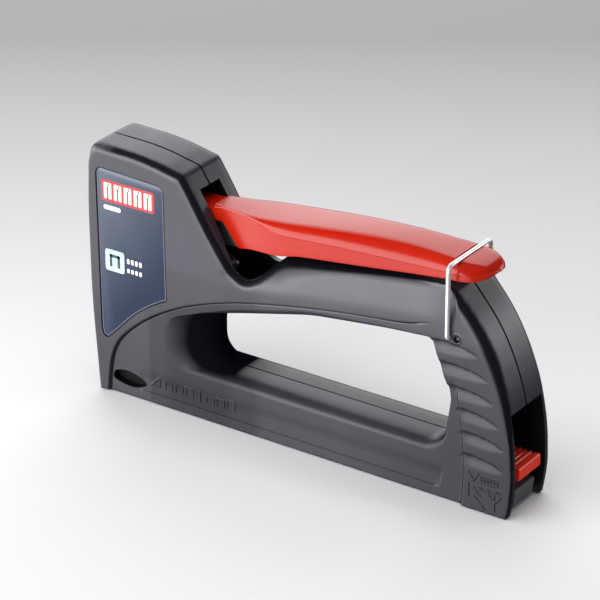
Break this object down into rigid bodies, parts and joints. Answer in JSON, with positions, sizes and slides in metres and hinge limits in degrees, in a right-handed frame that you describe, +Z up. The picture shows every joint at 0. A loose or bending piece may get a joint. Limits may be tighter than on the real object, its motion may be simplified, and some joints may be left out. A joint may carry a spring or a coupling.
{
  "type": "hand tacker",
  "caption": "Hand-held staple gun: hollow plastic casing with a D-shaped hand opening, a red squeeze lever, a wire lock and a rear-loading magazine.",
  "frame": {"origin": "middle of the bounding box's base: half way along the body, on the seam between the two casing halves, on the flat base", "axes": "+X from the nose to the rear, +Y to the right-hand side as the user holds it, +Z up from the base"},
  "size_m": [0.1736, 0.0278, 0.0949],
  "materials": {
    "casing_plastic": "fine satin grain, dark grey",
    "label_film": "glossy printed film, dark slate blue",
    "lever_plastic": "polished red",
    "latch_plastic": "satin red",
    "sheet_steel": "zinc plated sheet",
    "hard_steel": "hardened, oiled",
    "pin_steel": "ground bright",
    "screw_steel": "zinc plated",
    "spring_steel": "drawn wire",
    "bail_wire": "bright plated wire",
    "staple_wire": "galvanised wire, glued in a stick",
    "buffer_rubber": "matt black",
    "black_plastic": "matt black",
    "slide_plastic": "dark grey"
  },
  "bodies": {
    "casing": {"casing_left": "casing_plastic", "casing_right": "casing_plastic", "label_left": "label_film", "label_right": "label_film", "nose_plate": "sheet_steel", "striker_guide": "sheet_steel", "spring_cap": "sheet_steel", "recoil_buffer": "buffer_rubber", "main_spring": "spring_steel", "lever_spring": "spring_steel", "magazine_channel": "sheet_steel", "staple_rail": "sheet_steel", "staple_stick": "staple_wire", "rear_guide": "black_plastic", "lever_pivot_pin": "pin_steel", "rocker_pivot_pin": "pin_steel", "casing_screw_1": "screw_steel", "casing_screw_2": "screw_steel", "casing_screw_3": "screw_steel", "casing_screw_4": "screw_steel", "casing_screw_5": "screw_steel"},
    "squeeze_lever": {"lever": "lever_plastic", "lever_arm": "sheet_steel", "lever_rivet_1": "pin_steel", "lever_rivet_2": "pin_steel"},
    "rocker_arm": {"rocker": "hard_steel", "rocker_roller": "hard_steel"},
    "striker": {"plunger": "hard_steel", "driver_blade": "hard_steel", "blade_rivet": "pin_steel"},
    "wire_lock": {"lock_bail": "bail_wire"},
    "pusher_slide": {"magazine_slide": "slide_plastic", "pusher_rod": "pin_steel", "rod_stop": "pin_steel", "pusher_spring": "spring_steel", "latch_spring": "spring_steel"},
    "staple_follower": {"follower": "black_plastic"},
    "slide_latch": {"latch_button": "latch_plastic"}
  },
  "joints": [
    {"name": "lever_open", "type": "hinge", "parent": "casing", "child": "squeeze_lever", "pos_m": [-0.059, 0, 0.073], "axis": [0, -1, 0], "range_deg": [0, 15], "deforming": ["lever_spring"]},
    {"name": "rocker_turn", "type": "hinge", "parent": "casing", "child": "rocker_arm", "pos_m": [-0.049, 0, 0.06], "axis": [0, -1, 0], "range_deg": [0, 26.01]},
    {"name": "striker_drop", "type": "slide", "parent": "casing", "child": "striker", "axis": [0, 0, -1], "range_m": [0, 0.01212], "deforming": ["main_spring"]},
    {"name": "bail_swing", "type": "hinge", "parent": "casing", "child": "wire_lock", "pos_m": [0.0615, 0, 0.0612], "axis": [0, 1, 0], "range_deg": [0, 121], "deforming": ["lock_bail"]},
    {"name": "magazine_pull", "type": "slide", "parent": "casing", "child": "pusher_slide", "axis": [1, 0, 0], "range_m": [0, 0.1]},
    {"name": "follower_travel", "type": "slide", "parent": "pusher_slide", "child": "staple_follower", "axis": [1, 0, 0], "range_m": [0, 0.032], "stiffness_N_per_m": 20, "springref_m": -0.04, "deforming": ["pusher_spring"]},
    {"name": "latch_press", "type": "slide", "parent": "pusher_slide", "child": "slide_latch", "axis": [0, 0, -1], "range_m": [0, 0.0015], "stiffness_N_per_m": 300, "springref_m": -0.001, "deforming": ["latch_spring"]}
  ],
  "couplings": [
    {"joint": "rocker_turn", "follows": "lever_open", "ratio": 1.7143},
    {"joint": "striker_drop", "follows": "lever_open", "m_per_rad": 0.045898}
  ]
}
